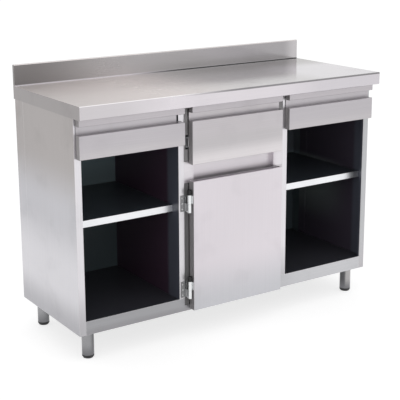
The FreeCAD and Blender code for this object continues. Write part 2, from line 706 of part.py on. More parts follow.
def pad_member(body, drawer, wall, hand, kind):
    """Channel section of one runner member, along the drawer's travel.

    The outer member is screwed to the wall. The middle one runs inside its flanges, and the inner one
    inside those of the middle one, with its web on the tray.
    """
    track = "runner_gauge + runner_gap"
    half = "runner_height / 2"
    web, edge, half = {
        "outer": ("0", "runner_thickness - runner_side_gap", half),
        "middle": (track, f"runner_thickness - {track.replace('+', '-')}", f"{half} - ({track})"),
        "inner": ("runner_thickness", f"2 * ({track})", f"{half} - 2 * ({track})"),
    }[kind]
    way = "+" if hand > 0 else "-"
    near = f"{wall} {way} ({web})"
    far = f"{wall} {way} ({edge})"
    middle = drawer.runner_middle
    path = [(far, f"{middle} + {half}"),
            (near, f"{middle} + {half}"),
            (near, f"{middle} - ({half})"),
            (far, f"{middle} - ({half})")]
    side = -hand if kind == "inner" else hand
    pad(body, "Y", ("runner_front", "runner_front + runner_length"), folded(path, "runner_gauge", side))


def make_runners(drawer):
    """Outer and middle members of the runners on both sides of a drawer."""
    for side in SIDES:
        wall, hand = drawer.runner_wall(side)
        for kind in ("outer", "middle"):
            body = new_body("runner_%s_%s_%s" % (kind, drawer.name, side))
            pad_member(body, drawer, wall, hand, kind)


def make_spacers(drawer):
    """Channels that bring the runners in past the front flanges."""
    for side, (left, right) in drawer.spacers.items():
        body = new_body("runner_spacer_%s_%s" % (drawer.name, side))
        away, carrying = (left, right) if side == "left" else (right, left)
        high = f"{drawer.runner_middle} + spacer_height / 2"
        low = f"{drawer.runner_middle} - spacer_height / 2"
        path = [(away, high), (carrying, high), (carrying, low), (away, low)]
        turn = -1 if side == "left" else 1
        pad(body, "Y", ("frame + spacer_setback", "panel_rear - joggle_tab"),
            folded(path, "sheet_gauge", turn))


# --- Door ----------------------------------------------------------------------------------------------

def make_door_skin():
    """Outer pan of the door, with a grip channel folded into its top edge and closed ends."""
    body = new_body("door_skin")
    grip_front = "door_face + grip_hem"
    grip_floor = "door_top - grip_depth"
    profile = [("front_back", "door_bottom"),
               ("door_face", "door_bottom"),
               ("door_face", "door_top"),
               (grip_front, "door_top"),
               (grip_front, grip_floor),
               ("groove_back", grip_floor),
               ("groove_back", "door_top")]
    pad(body, "X", ("-door_side", "door_side"), folded(profile, "sheet_gauge", -1))
    cheek = rectangle("door_face", "front_back", "door_bottom", "door_top")
    for hand in SIDES.values():
        pad(body, "X", mirrored(hand, "door_side - sheet_gauge", "door_side"), cheek)
    return body


def make_door_liner():
    """Inner pan: a brim behind the skin's edges and a plug that stands into the opening."""
    body = new_body("door_liner")
    brim = rectangle("-door_side", "door_side", "door_bottom", "door_top")
    pad(body, "Y", ("front_back", "liner_back"), brim)
    plug = rectangle("-plug_side", "plug_side", "plug_bottom", "plug_top")
    pad(body, "Y", ("liner_back", "plug_back"), plug)
    hollow = rectangle("-plug_side + sheet_gauge", "plug_side - sheet_gauge",
                       "plug_bottom + sheet_gauge", "plug_top - sheet_gauge")
    pocket(body, "Y", ("front_back", "plug_back - sheet_gauge"), hollow)
    return body


def make_hinge(name, drop):
    """Lift-off hinge: a fixed knuckle with pin and leaf, a sleeve with its leaf, and a cap."""
    base = f"worktop_height - {drop}"
    joint = f"{base} + knuckle_height"
    sleeve_base = f"{joint} + knuckle_gap"
    sleeve_top = f"{sleeve_base} + knuckle_height"
    axis = ("hinge_across", "hinge_depth")
    leaf_front = "frame - leaf_gauge"
    leaf_low = f"{base} + leaf_end_gap"
    leaf_high = f"{sleeve_top} - leaf_end_gap"

    fixed = new_body("hinge_frame_" + name)
    pad(fixed, "Z", (base, joint), (*axis, "knuckle_radius"))
    pad(fixed, "Z", (joint, f"{sleeve_top} - pin_top_gap"), (*axis, "pin_diameter / 2"))
    arm_side = "hinge_across - knuckle_radius"
    arm = rectangle(arm_side, f"{arm_side} + leaf_gauge", "hinge_depth", leaf_front)
    pad(fixed, "Z", (leaf_low, joint), arm)
    foot = rectangle("-centre_edge - leaf_width", f"{arm_side} + leaf_gauge", leaf_front, "frame")
    pad(fixed, "Z", (leaf_low, leaf_high), foot)

    moving = new_body("hinge_door_" + name)
    pad(moving, "Z", (sleeve_base, sleeve_top), (*axis, "knuckle_radius"),
        (*axis, "pin_diameter / 2 + pin_clearance"))
    plate = rectangle("-door_side - leaf_gauge", "-door_side", "door_face + leaf_gauge",
                      "door_face + leaf_gauge + leaf_depth")
    pad(moving, "Z", (sleeve_base, leaf_high), plate)

    cap = new_body("hinge_cap_" + name)
    revolve(cap, [("0", "0"), ("knuckle_radius", "0"), ("knuckle_radius", "cap_height - cap_bevel"),
                  ("knuckle_radius - cap_bevel", "cap_height"), ("0", "cap_height")])
    stand_at(cap, *axis, sleeve_top)


def make_catch():
    """Magnetic catch under the crossbar, and the strike plate on the liner that it holds."""
    side = ("plug_side - catch_margin - catch_width", "plug_side - catch_margin")
    catch_front = "plug_back + strike_thickness + strike_gap"
    catch = new_body("magnetic_catch")
    pad(catch, "Z", ("crossbar_bottom - catch_height", "crossbar_bottom"),
        rectangle(*side, catch_front, f"{catch_front} + catch_depth"))
    strike = new_body("strike_plate")
    pad(strike, "Y", ("plug_back", "plug_back + strike_thickness"),
        rectangle(*side, "crossbar_bottom - catch_height", "plug_top"))


# --- The whole counter ---------------------------------------------------------------------------------

make_worktop()
make_stiffener("stiffener_front", "(frame + stiffener_width)")
make_stiffener("stiffener_rear", "(panel_rear)")
make_back_panel()
make_bottom_rail()
make_crossbar()
make_floor("left", ("-panel_inside + sheet_gauge", "-divider_outside"), "floor_top")
make_floor("right", ("divider_outside", "panel_inside - sheet_gauge"), "floor_top")
make_floor("centre", ("-divider_inside", "divider_inside"), "rail_centre_top")
for side in SIDES:
    make_side_panel(side)
    make_divider(side)
    make_shelf(side)
    for place in ("panel", "divider"):
        make_cleat(side, place)
    for row, setback in (("front", "front_leg_setback"), ("rear", "rear_leg_setback")):
        across = on_side(SIDES[side], "worktop_end - leg_end_margin")
        depth = f"worktop_front + {setback}"
        make_leg(f"leg_{row}_{side}", across, depth)
        make_foot(f"foot_{row}_{side}", across, depth)
for name in ("left", "centre", "right"):
    drawer = Drawer(name)
    make_drawer_front(drawer)
    make_drawer_tray(drawer)
    make_runners(drawer)
    make_spacers(drawer)
make_door_skin()
make_door_liner()
make_hinge("upper", "upper_hinge_drop")
make_hinge("lower", "lower_hinge_drop")
make_catch()
doc.recompute()


# --- Checks and files ----------------------------------------------------------------------------------

def check_document():
    """Stop if an object has failed, a sub-part has no sound shape or a pocket has cut nothing."""
    for thing in doc.Objects:
        if "Invalid" in thing.State or "Error" in thing.State:
            raise RuntimeError(thing.Label + " has failed")
        if thing.TypeId == "PartDesign::Pocket" and thing.Shape.Volume >= thing.BaseFeature.Shape.Volume:
            raise RuntimeError(thing.Label + " has cut nothing")


check_document()
parts = [thing for thing in doc.Objects if thing.TypeId == "PartDesign::Body"]
for body in parts:
    if body.Shape.isNull() or not body.Shape.isValid():
        raise RuntimeError(body.Label + " has no sound shape")
    if len(body.Shape.Solids) != 1:
        raise RuntimeError(body.Label + " is in several pieces")
os.makedirs("parts", exist_ok=True)
for body in parts:
    body.Shape.exportStep("parts/" + body.Label + ".step")
print(len(parts), "parts")
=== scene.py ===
import math
import bmesh
import bpy
import numpy as np
from mathutils import Matrix


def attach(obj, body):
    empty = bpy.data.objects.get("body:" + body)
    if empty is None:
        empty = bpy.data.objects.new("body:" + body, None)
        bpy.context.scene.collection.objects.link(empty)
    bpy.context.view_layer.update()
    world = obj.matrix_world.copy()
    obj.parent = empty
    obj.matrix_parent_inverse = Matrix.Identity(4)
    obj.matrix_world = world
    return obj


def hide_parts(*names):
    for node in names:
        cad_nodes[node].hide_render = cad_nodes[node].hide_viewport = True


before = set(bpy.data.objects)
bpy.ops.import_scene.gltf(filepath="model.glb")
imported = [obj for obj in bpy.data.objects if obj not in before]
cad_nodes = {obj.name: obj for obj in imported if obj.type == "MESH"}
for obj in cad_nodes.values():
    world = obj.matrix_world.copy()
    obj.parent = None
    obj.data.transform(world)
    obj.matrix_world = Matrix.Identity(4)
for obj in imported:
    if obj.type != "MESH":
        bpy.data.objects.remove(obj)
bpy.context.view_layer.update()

# --- Studio ---------------------------------------------------------------------------------------------
# The counter stands on a white floor that runs out of sight into a white surround, under soft lamps. The
# camera looks down a little from the front left.

scene = bpy.context.scene
scene.view_settings.view_transform = "Standard"

camera_data = bpy.data.cameras.new("camera")
camera_data.sensor_width = 36
camera_data.lens = 91.98
camera_data.shift_x = 0.05
camera_data.shift_y = -0.10
camera = bpy.data.objects.new("camera", camera_data)
scene.collection.objects.link(camera)
scene.camera = camera
camera_turn = math.radians(32.57)
camera_tilt = math.radians(-13.36)
camera_roll = math.radians(-0.49)
camera.matrix_world = (Matrix.Translation((-2.438, -3.630, 1.729))
                       @ Matrix.Rotation(-camera_turn, 4, "Z")
                       @ Matrix.Rotation(math.pi / 2 + camera_tilt, 4, "X")
                       @ Matrix.Rotation(camera_roll, 4, "Z"))


def node_of(material, kind, operation=None, **values):
    """A new node of a material, with its operation and the named sockets set to plain values."""
    made = material.node_tree.nodes.new(kind)
    if operation:
        made.operation = operation
    for name, value in values.items():
        made.inputs[name.replace("_", " ")].default_value = value
    return made


def join(material, start, end):
    """A link from an output socket to an input socket of a material."""
    material.node_tree.links.new(start, end)


def reckoned(material, operation, first, second):
    """The output of a maths node. Either side is a socket or a plain number."""
    sums = node_of(material, "ShaderNodeMath", operation)
    for socket, value in zip(sums.inputs, (first, second)):
        if isinstance(value, bpy.types.NodeSocket):
            join(material, value, socket)
        else:
            socket.default_value = value
    return sums.outputs["Value"]


def seen_in_gloss(material):
    """1 for rays from the camera and for mirrored and clear rays, 0 for the light that falls on things."""
    rays = node_of(material, "ShaderNodeLightPath").outputs
    mirrored = reckoned(material, "MAXIMUM", rays["Is Glossy Ray"], rays["Is Transmission Ray"])
    return reckoned(material, "MAXIMUM", rays["Is Camera Ray"], mirrored)


floor_reach = 40.0
floor_corners = np.array([(-1, -1, 0), (1, -1, 0), (1, 1, 0), (-1, 1, 0)]) * floor_reach
floor_mesh = bpy.data.meshes.new("studio_floor")
floor_mesh.from_pydata(floor_corners.tolist(), [], [[0, 1, 2, 3]])
studio_floor = bpy.data.objects.new("studio_floor", floor_mesh)
scene.collection.objects.link(studio_floor)

floor_white = bpy.data.materials.new("floor_white")
floor_white.use_nodes = True
floor_shader = floor_white.node_tree.nodes["Principled BSDF"]
floor_shader.inputs["Base Color"].default_value = (0.50, 0.50, 0.50, 1)
floor_shader.inputs["Roughness"].default_value = 0.9
floor_shader.inputs["Specular IOR Level"].default_value = 0.0
floor_glow = node_of(floor_white, "ShaderNodeEmission", Strength=0.74)
floor_sum = node_of(floor_white, "ShaderNodeAddShader")
floor_mix = node_of(floor_white, "ShaderNodeMixShader")
join(floor_white, floor_shader.outputs["BSDF"], floor_sum.inputs[0])
join(floor_white, floor_glow.outputs["Emission"], floor_sum.inputs[1])
join(floor_white, seen_in_gloss(floor_white), floor_mix.inputs["Fac"])
join(floor_white, floor_shader.outputs["BSDF"], floor_mix.inputs[1])
join(floor_white, floor_sum.outputs["Shader"], floor_mix.inputs[2])
join(floor_white, floor_mix.outputs["Shader"],
     floor_white.node_tree.nodes["Material Output"].inputs["Surface"])
studio_floor.data.materials.append(floor_white)

surround = bpy.data.worlds.new("surround")
surround.use_nodes = True
scene.world = surround
background = surround.node_tree.nodes["Background"]
background.inputs["Color"].default_value = (1, 1, 1, 1)
world_level = node_of(surround, "ShaderNodeMapRange", To_Min=0.62, To_Max=1.0)
join(surround, seen_in_gloss(surround), world_level.inputs["Value"])
join(surround, world_level.outputs["Result"], background.inputs["Strength"])

soft_lamps = [
    # name, place, point that it faces, side in metres, watts
    ("lamp_front_left", (-3.2, -3.4, 3.0), (0, 0, 0.6), 3.0, 9),
    ("lamp_front_right", (3.0, -3.6, 2.2), (0, 0, 0.6), 3.0, 6),
    ("lamp_above", (0.0, -0.4, 4.0), (0, 0, 0.8), 3.0, 9),
]
for lamp_name, lamp_place, lamp_target, lamp_side, lamp_watts in soft_lamps:
    lamp_data = bpy.data.lights.new(lamp_name, "AREA")
    lamp_data.shape = "SQUARE"
    lamp_data.size = lamp_side
    lamp_data.energy = lamp_watts
    lamp = bpy.data.objects.new(lamp_name, lamp_data)
    scene.collection.objects.link(lamp)
    away = np.array(lamp_place) - np.array(lamp_target)
    across = math.atan2(away[0], -away[1])
    down = math.atan2(math.hypot(away[0], away[1]), away[2])
    lamp.matrix_world = (Matrix.Translation(lamp_place) @ Matrix.Rotation(across, 4, "Z")
                         @ Matrix.Rotation(down, 4, "X"))

# --- Cabinet shell --------------------------------------------------------------------------------------
# Side panels, dividers and back folded from 1.2 mm stainless sheet, ground from top to bottom to a satin
# finish and spot-welded. The flanges are painted bright as painted highlights, the panels carry painted
# light and shade, and the open bays are painted dark as painted shade that falls off to blue black.


def satin_steel(name, tone, grain, shades=(), rooms=(), roughness=0.34, polish=None, streak=0.05):
    """Satin ground stainless steel.

    grain is the axis along which the sheet was ground: fine noise drawn out along it gives streaks in tone,
    gloss and height. Two slower noises stand for hand marks and for an uneven sheet.
    shades are painted light and shade, broad changes of the tone that stand in for light, shade and
    reflections. Each is (tone, fade, ...), and a fade (axis, none, full) runs from no shade to full
    shade along an axis of the object, X, Y or Z, along AX, the distance from its middle plane, or along
    an axis of its surface normal, NX, NY or NZ.
    rooms are painted light and shade too, where the steel is no longer a mirror: the unlit inside painted
    dark, as though seen by stray light alone, and other dull patches. polish is (roughness, fade, ...) for
    a part that is glossier or duller.
    """
    steel = bpy.data.materials.new(name)
    steel.use_nodes = True
    shader = steel.node_tree.nodes["Principled BSDF"]
    places = node_of(steel, "ShaderNodeTexCoord").outputs
    spot = node_of(steel, "ShaderNodeSeparateXYZ")
    facing = node_of(steel, "ShaderNodeSeparateXYZ")
    join(steel, places["Object"], spot.inputs["Vector"])
    join(steel, places["Normal"], facing.inputs["Vector"])

    def full_where(fades):
        """The product of the fades, 1 where all are full."""
        whole = 1.0
        for axis, none, full in fades:
            source = (facing if axis[0] == "N" else spot).outputs[axis[-1]]
            if axis[0] == "A":
                source = reckoned(steel, "ABSOLUTE", source, 0.0)
            ramp = node_of(steel, "ShaderNodeMapRange", From_Min=none, From_Max=full)
            ramp.interpolation_type = "SMOOTHSTEP"
            join(steel, source, ramp.inputs["Value"])
            whole = reckoned(steel, "MULTIPLY", ramp.outputs["Result"], whole)
        return whole

    def shaded(colour, shade):
        """The colour, or at first the tone, turned into the shade's tone where the shade is full."""
        blend = node_of(steel, "ShaderNodeMixRGB", Color1=(*tone, 1), Color2=(*shade[0], 1))
        if colour is not None:
            join(steel, colour, blend.inputs["Color1"])
        join(steel, full_where(shade[1:]), blend.inputs["Fac"])
        return blend.outputs["Color"]

    colour = None
    for shade in shades:
        colour = shaded(colour, shade)

    stretch = [460.0, 460.0, 460.0]
    stretch["XYZ".index(grain)] = 3.0
    drawn = node_of(steel, "ShaderNodeMapping", Scale=stretch)
    join(steel, places["Object"], drawn.inputs["Vector"])
    streaks = node_of(steel, "ShaderNodeTexNoise", Scale=1.0, Detail=4.0, Roughness=0.6)
    join(steel, drawn.outputs["Vector"], streaks.inputs["Vector"])
    marks = node_of(steel, "ShaderNodeTexNoise", Scale=7.0, Detail=3.0, Roughness=0.55)
    join(steel, places["Object"], marks.inputs["Vector"])
    waves = node_of(steel, "ShaderNodeTexNoise", Scale=1.6, Detail=1.0)
    join(steel, places["Object"], waves.inputs["Vector"])

    def levelled(noise, low, high, none=0.0, full=1.0):
        """The noise spread from low to high."""
        ramp = node_of(steel, "ShaderNodeMapRange", From_Min=none, From_Max=full, To_Min=low, To_Max=high)
        join(steel, noise.outputs["Fac"], ramp.inputs["Value"])
        return ramp.outputs["Result"]

    level = reckoned(steel, "MULTIPLY", levelled(streaks, 1 - streak, 1 + streak, 0.25, 0.75),
                     levelled(waves, 0.96, 1.04, 0.3, 0.7))
    level = reckoned(steel, "MULTIPLY", level, levelled(marks, 1.0, 0.95, 0.55, 0.75))
    toned = node_of(steel, "ShaderNodeVectorMath", "SCALE", Vector=tone)
    if colour is not None:
        join(steel, colour, toned.inputs["Vector"])
    join(steel, level, toned.inputs["Scale"])
    colour = toned.outputs["Vector"]
    mirrored = 0.85
    shader.inputs["Metallic"].default_value = mirrored
    for room in rooms:
        colour = shaded(colour, room)
        lit = reckoned(steel, "SUBTRACT", 1.0, full_where(room[1:]))
        mirrored = reckoned(steel, "MULTIPLY", lit, mirrored)
        if room is rooms[-1]:
            join(steel, mirrored, shader.inputs["Metallic"])
    join(steel, colour, shader.inputs["Base Color"])

    gloss = reckoned(steel, "ADD", levelled(streaks, roughness - 0.05, roughness + 0.05),
                     levelled(marks, 0.0, 0.07, 0.55, 0.75))
    if polish:
        change = reckoned(steel, "MULTIPLY", full_where(polish[1:]), polish[0] - roughness)
        gloss = reckoned(steel, "ADD", gloss, change)
    join(steel, gloss, shader.inputs["Roughness"])
    bump = node_of(steel, "ShaderNodeBump", Strength=0.12, Distance=0.0002)
    join(steel, streaks.outputs["Fac"], bump.inputs["Height"])
    join(steel, bump.outputs["Normal"], shader.inputs["Normal"])
    return steel


sheet = 0.0012
frame_plane = -0.2384
panel_side = 0.7476
back_plane = 0.2940
divider_wall = 0.2782
# Fades that tell a sheet's two faces apart change over within its thickness.
in_front = ("Y", frame_plane + 0.0011, frame_plane + 0.0004)
behind_flanges = ("Y", frame_plane + sheet, frame_plane + 0.004)
near_flanges = ("Y", -0.140, -0.165)
within_sides = ("AX", panel_side - 0.0005, panel_side - 0.0007)
before_back = ("Y", back_plane - 0.0004, back_plane - 0.0006)
past_wall = ("AX", divider_wall, divider_wall + 0.0002)
facing_back = ("NY", 0.3, 0.8)
# Painted shade of the unlit bays, warmer on the dividers, and painted light on a strip near the opening.
painted_bay_shade = (0.070, 0.058, 0.082)
painted_bay_shade_warm = (0.064, 0.036, 0.060)
painted_bay_light_near_front = (0.105, 0.112, 0.145)

edge_steel = satin_steel("edge_steel", (0.78, 0.77, 0.78), "Z", roughness=0.22)
# Edges of the shell, painted dark as painted shade inside the bays.
shell_edge = satin_steel("shell_edge", (0.70, 0.69, 0.70), "Z", roughness=0.22,
                         rooms=[(painted_bay_shade, behind_flanges, within_sides, before_back)])


def dress(nodes, material, edge=0.0004, edge_material=edge_steel):
    """CAD nodes get their material. Their sharp edges are eased, and worn brighter, as on deburred sheet."""
    for node in nodes:
        piece = cad_nodes[node]
        piece.data.materials.clear()
        piece.data.materials.append(material)
        if edge:
            weld = piece.modifiers.new("joined", "WELD")
            weld.merge_threshold = 0.00001
            piece.data.materials.append(edge_material)
            ease = piece.modifiers.new("eased_edges", "BEVEL")
            ease.width = edge
            ease.segments = 2
            ease.material = 1
            ease.limit_method = "ANGLE"
            ease.angle_limit = math.radians(40)
            ease.use_clamp_overlap = True


# Painted light and shade: the flanges bright, darker to the right and low down; the side panels darkest at
# the top, lightest low down and darker again at the foot.
flange_painted_light = [((0.78, 0.76, 0.79), in_front), ((0.52, 0.525, 0.54), in_front, ("X", 0.60, 0.70)),
                 ((0.52, 0.51, 0.53), in_front, ("Z", 0.34, 0.14))]
panel_painted_light = [((0.54, 0.535, 0.565), ("Z", 0.82, 0.60)),
                ((0.69, 0.68, 0.71), ("Z", 0.58, 0.36)),
                ((0.45, 0.445, 0.47), ("Z", 0.28, 0.13))]
# Inside the bays the side panels are painted dark as painted shade, with painted light on the lower bay's
# wall and on a strip near the opening.
panel_steel = satin_steel("panel_steel", (0.405, 0.38, 0.375), "Z", panel_painted_light + flange_painted_light,
                          rooms=[(painted_bay_shade, behind_flanges, within_sides),
                                 ((0.24, 0.28, 0.275), behind_flanges, within_sides,
                                  ("Y", -0.14, 0.16), ("Z", 0.24, 0.46), ("Z", 0.60, 0.56)),
                                 (painted_bay_light_near_front, behind_flanges, within_sides, near_flanges)])
dress(("side_panel_left", "side_panel_right"), panel_steel, edge_material=shell_edge)

# Painted light on the flanges; inside the bays painted shade, with painted light near the opening.
divider_steel = satin_steel("divider_steel", (0.50, 0.49, 0.50), "Z", flange_painted_light,
                            rooms=[(painted_bay_shade_warm, behind_flanges, past_wall),
                                   (painted_bay_light_near_front, behind_flanges, past_wall, near_flanges)])
dress(("divider_left", "divider_right"), divider_steel, edge_material=shell_edge)

# The back's wrap takes the panels' painted light. Its rear face is painted plainer, with painted shade to
# the top, and inside the bays it is painted with blue-black shade and patches of painted light.
back_steel = satin_steel("back_steel", (0.405, 0.38, 0.375), "Z", panel_painted_light
                         + [((0.52, 0.51, 0.52), facing_back),
                            ((0.44, 0.43, 0.43), facing_back, ("Z", 0.6, 0.95))],
                         rooms=[((0.085, 0.112, 0.124), before_back, within_sides),
                                ((0.19, 0.25, 0.27), before_back, within_sides, ("Z", 0.34, 0.52)),
                                ((0.26, 0.35, 0.39), before_back, within_sides, ("Z", 0.58, 0.72),
                                 ("X", 0.2, -0.2)),
                                ((0.13, 0.15, 0.17), before_back, within_sides, ("Z", 0.56, 0.60),
                                 ("X", 0.0, 0.2))])
dress(("back_panel",), back_steel, edge_material=shell_edge)

# Behind the flanges, inside the bays, this steel is painted dark as painted shade.
floor_steel = satin_steel("floor_steel", (0.50, 0.49, 0.50), "X",
                          rooms=[((0.042, 0.042, 0.052), behind_flanges)])
dress(("floor_left", "floor_centre", "floor_right"), floor_steel, edge_material=shell_edge)

# Painted light and shade: darker along its foot and on the left, lighter to the right.
rail_steel = satin_steel("rail_steel", (0.385, 0.385, 0.40), "X",
                         [((0.34, 0.335, 0.35), ("Z", 0.15, 0.125)),
                          ((0.58, 0.58, 0.60), ("X", -0.1, 0.4))])
dress(("bottom_rail",), rail_steel)

# Painted light at its ends, and painted shade along its foot above the door.
crossbar_steel = satin_steel("crossbar_steel", (0.72, 0.68, 0.715), "X",
                             [((0.76, 0.73, 0.76), ("AX", 0.200, 0.230)),
                              ((0.57, 0.535, 0.565), ("Z", 0.690, 0.680))])
dress(("crossbar",), crossbar_steel)

# --- Seals ----------------------------------------------------------------------------------------------
# Moulded rubber strips, pressed on the dividers' flanges, close the gaps beside the door and the centre
# drawer against dust and splashes. The door's are painted darker, as painted shade in the door's gaps,
# and the drawer's are notched round its runners.


def moulded(name, tone, roughness=0.45, grain=900.0):
    """Moulded plastic or rubber.

    A fine cell noise gives the grained surface in height and gloss. A slow noise varies the colour, and a
    middle one leaves paler scuffs where it rises above a level.
    """
    plastic = bpy.data.materials.new(name)
    plastic.use_nodes = True
    shader = plastic.node_tree.nodes["Principled BSDF"]
    spot = node_of(plastic, "ShaderNodeTexCoord").outputs["Object"]
    cells = node_of(plastic, "ShaderNodeTexVoronoi", Scale=grain)
    slow = node_of(plastic, "ShaderNodeTexNoise", Scale=14.0, Detail=2.0)
    scuffs = node_of(plastic, "ShaderNodeTexNoise", Scale=90.0, Detail=3.0)
    for texture in (cells, slow, scuffs):
        join(plastic, spot, texture.inputs["Vector"])
    worn = node_of(plastic, "ShaderNodeMapRange", From_Min=0.56, From_Max=0.72, To_Max=0.5)
    join(plastic, scuffs.outputs["Fac"], worn.inputs["Value"])
    paler = node_of(plastic, "ShaderNodeMixRGB", Color1=(*tone, 1),
                    Color2=(*[0.9 * part + 0.03 for part in tone], 1))
    join(plastic, worn.outputs["Result"], paler.inputs["Fac"])
    varied = node_of(plastic, "ShaderNodeMixRGB", Color2=(*[0.7 * part for part in tone], 1))
    join(plastic, paler.outputs["Color"], varied.inputs["Color1"])
    join(plastic, reckoned(plastic, "MULTIPLY", slow.outputs["Fac"], 0.6), varied.inputs["Fac"])
    join(plastic, varied.outputs["Color"], shader.inputs["Base Color"])
    gloss = node_of(plastic, "ShaderNodeMapRange", To_Min=roughness - 0.06, To_Max=roughness + 0.10)
    join(plastic, cells.outputs["Distance"], gloss.inputs["Value"])
    join(plastic, gloss.outputs["Result"], shader.inputs["Roughness"])
    bump = node_of(plastic, "ShaderNodeBump", Strength=0.25, Distance=0.0002)
    join(plastic, cells.outputs["Distance"], bump.inputs["Height"])
    join(plastic, bump.outputs["Normal"], shader.inputs["Normal"])
    return plastic


def surface(name, grids, body, material, closed=False):
    """A piece made of grids of points, each rows x columns x 3.

    Point (i, j) of a grid is joined to (i, j + 1), (i + 1, j + 1) and (i + 1, j). Columns close to a ring.
    Rows close to a ring too where closed, and otherwise the first and the last row each become a cap.
    """
    points = []
    faces = []
    for grid in grids:
        rows, columns = grid.shape[:2]
        start = sum(len(part) for part in points)
        number = start + np.arange(rows * columns).reshape(rows, columns)
        if not closed:
            faces += [number[0, ::-1].tolist(), number[-1].tolist()]
        else:
            number = np.vstack([number, number[:1]])
        number = np.hstack([number, number[:, :1]])
        quads = np.stack([number[:-1, :-1], number[:-1, 1:], number[1:, 1:], number[1:, :-1]], -1)
        faces += quads.reshape(-1, 4).tolist()
        points.append(grid.reshape(-1, 3))
    mesh = bpy.data.meshes.new(name)
    mesh.from_pydata(np.concatenate(points).tolist(), [], faces)
    shell = bmesh.new()
    shell.from_mesh(mesh)
    bmesh.ops.recalc_face_normals(shell, faces=shell.faces)
    shell.to_mesh(mesh)
    shell.free()
    mesh.polygons.foreach_set("use_smooth", np.ones(len(mesh.polygons), bool))
    mesh.set_sharp_from_angle(angle=math.radians(35))
    mesh.materials.append(material)
    piece = bpy.data.objects.new(name, mesh)
    scene.collection.objects.link(piece)
    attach(piece, body)
    return piece


def rounded(power, angle):
    """The cosine and sine of an angle on a rounded square: each to a power under 1, its sign kept."""
    cosine = np.sign(np.cos(angle)) * np.abs(np.cos(angle)) ** power
    sine = np.sign(np.sin(angle)) * np.abs(np.sin(angle)) ** power
    return cosine, sine


seal_root = 0.2600
seal_plane = frame_plane + sheet + 0.0018
web_half = 0.0008
bead_rise = 0.0009
bead_inset = 0.0028
bead_spread = 0.0020


def lip_seal(side, edges):
    """A flat web with a bead along its free edge, carried up through rows of (height, free edge).

    Going round the section, a point lies on a rounded rectangle. Its half thickness is that of the web plus
    a bell curve that peaks near the free edge.
    """
    row, angle = np.meshgrid(np.arange(len(edges)), np.linspace(0, 2 * np.pi, 40, False), indexing="ij")
    height, free_edge = np.array(edges)[row].transpose(2, 0, 1)
    cosine, sine = rounded(0.35, angle)
    reach = (free_edge + seal_root) / 2 + (seal_root - free_edge) / 2 * cosine
    half = web_half + bead_rise * np.exp(-((reach - free_edge - bead_inset) / bead_spread) ** 2)
    return np.stack([side * reach, seal_plane + half * sine, height], -1)


seal_rubber = moulded("seal_rubber", (0.46, 0.45, 0.455), 0.6)
# The door's seals are the same rubber painted darker, as painted shade in the door's gaps.
door_rubber_painted_shade = moulded("door_rubber_painted_shade", (0.23, 0.225, 0.23), 0.6)
beside_door = 0.2300
beside_tray = 0.2318
beside_runner = 0.2438
door_edges = [(0.1425, beside_door), (0.6715, beside_door)]
drawer_edges = [(0.7625, beside_tray), (0.8120, beside_tray), (0.8130, beside_runner),
                (0.8710, beside_runner), (0.8720, beside_tray), (0.9950, beside_tray)]
for side, hand in (("left", -1), ("right", 1)):
    surface("door_seal_" + side, [lip_seal(hand, door_edges)], "cabinet", door_rubber_painted_shade)
    surface("drawer_seal_" + side, [lip_seal(hand, drawer_edges)], "cabinet", seal_rubber)

# --- Shelves --------------------------------------------------------------------------------------------
# Each shelf is a folded stainless sheet with a hemmed front edge, painted bright as a painted highlight.
# It is laid on angle cleats that are fixed to the walls of its bay.

behind_hem = ("Y", -0.1888, -0.1878)
# Painted highlight: the shelves' steel is painted near white, and painted dark behind the hem as painted
# shade.
shelf_steel = satin_steel("shelf_steel", (0.91, 0.92, 0.94), "X",
                          rooms=[((0.040, 0.047, 0.058), behind_hem)])
dress(("shelf_left", "shelf_right"), shelf_steel)
dress(("cleat_left_panel", "cleat_left_divider", "cleat_right_panel", "cleat_right_divider"), floor_steel,
      edge_material=shell_edge)

# --- Legs and feet --------------------------------------------------------------------------------------
# Round stainless tubes welded to a plate under the side panels, ground round the tube. Black moulded
# feet on zinc-plated stems screw out to level the counter.

corners = {"front_left": (-0.686, -0.184), "front_right": (0.686, -0.184),
           "rear_left": (-0.686, 0.234), "rear_right": (0.686, 0.234)}
# Painted light and shade: each leg painted dark on the side that faces in under the counter and towards its
# foot, the right legs painted lighter.
tube_steel = satin_steel("tube_steel", (0.33, 0.33, 0.34), "X", roughness=0.22,
                         shades=[((0.12, 0.12, 0.125), ("NX", -0.2, 0.8), ("X", 0.3, 0.0)),
                                 ((0.42, 0.41, 0.41), ("X", 0.3, 0.6)),
                                 ((0.11, 0.11, 0.115), ("X", 0.3, 0.6), ("NX", -0.5, -0.8)),
                                 ((0.19, 0.19, 0.20), ("Z", 0.07, 0.01))])
dress(["leg_" + corner for corner in corners], tube_steel, 0)
plate_seat = 0.115
tube_radius = 0.025
bead_radius = 0.0018
bead_swell = 0.14
ripples = 40
foot_radius = 0.025
foot_height = 0.014
collar_low = 0.0080
flute_low = 0.0084
flute_high = 0.0132
flute_depth = 0.0004
flutes = 36
# The cap's radius and height, from its sole up the taper and the collar to its top.
foot_profile = np.array([(0.0195, 0.0), (0.0207, 0.0004), (0.0212, 0.0012), (0.0246, 0.0074),
                         (foot_radius, collar_low), (foot_radius, flute_low), (foot_radius, flute_high),
                         (0.0248, 0.0137), (0.0243, foot_height)])
stem_radius = 0.006
stem_top = 0.074
thread_low = foot_height - 0.0005
thread_high = 0.045
thread_pitch = 0.00175
thread_depth = 0.0007
black_moulding = moulded("black_moulding", (0.010, 0.010, 0.011))
stem_zinc = satin_steel("stem_zinc", (0.50, 0.51, 0.53), "Z", roughness=0.3)


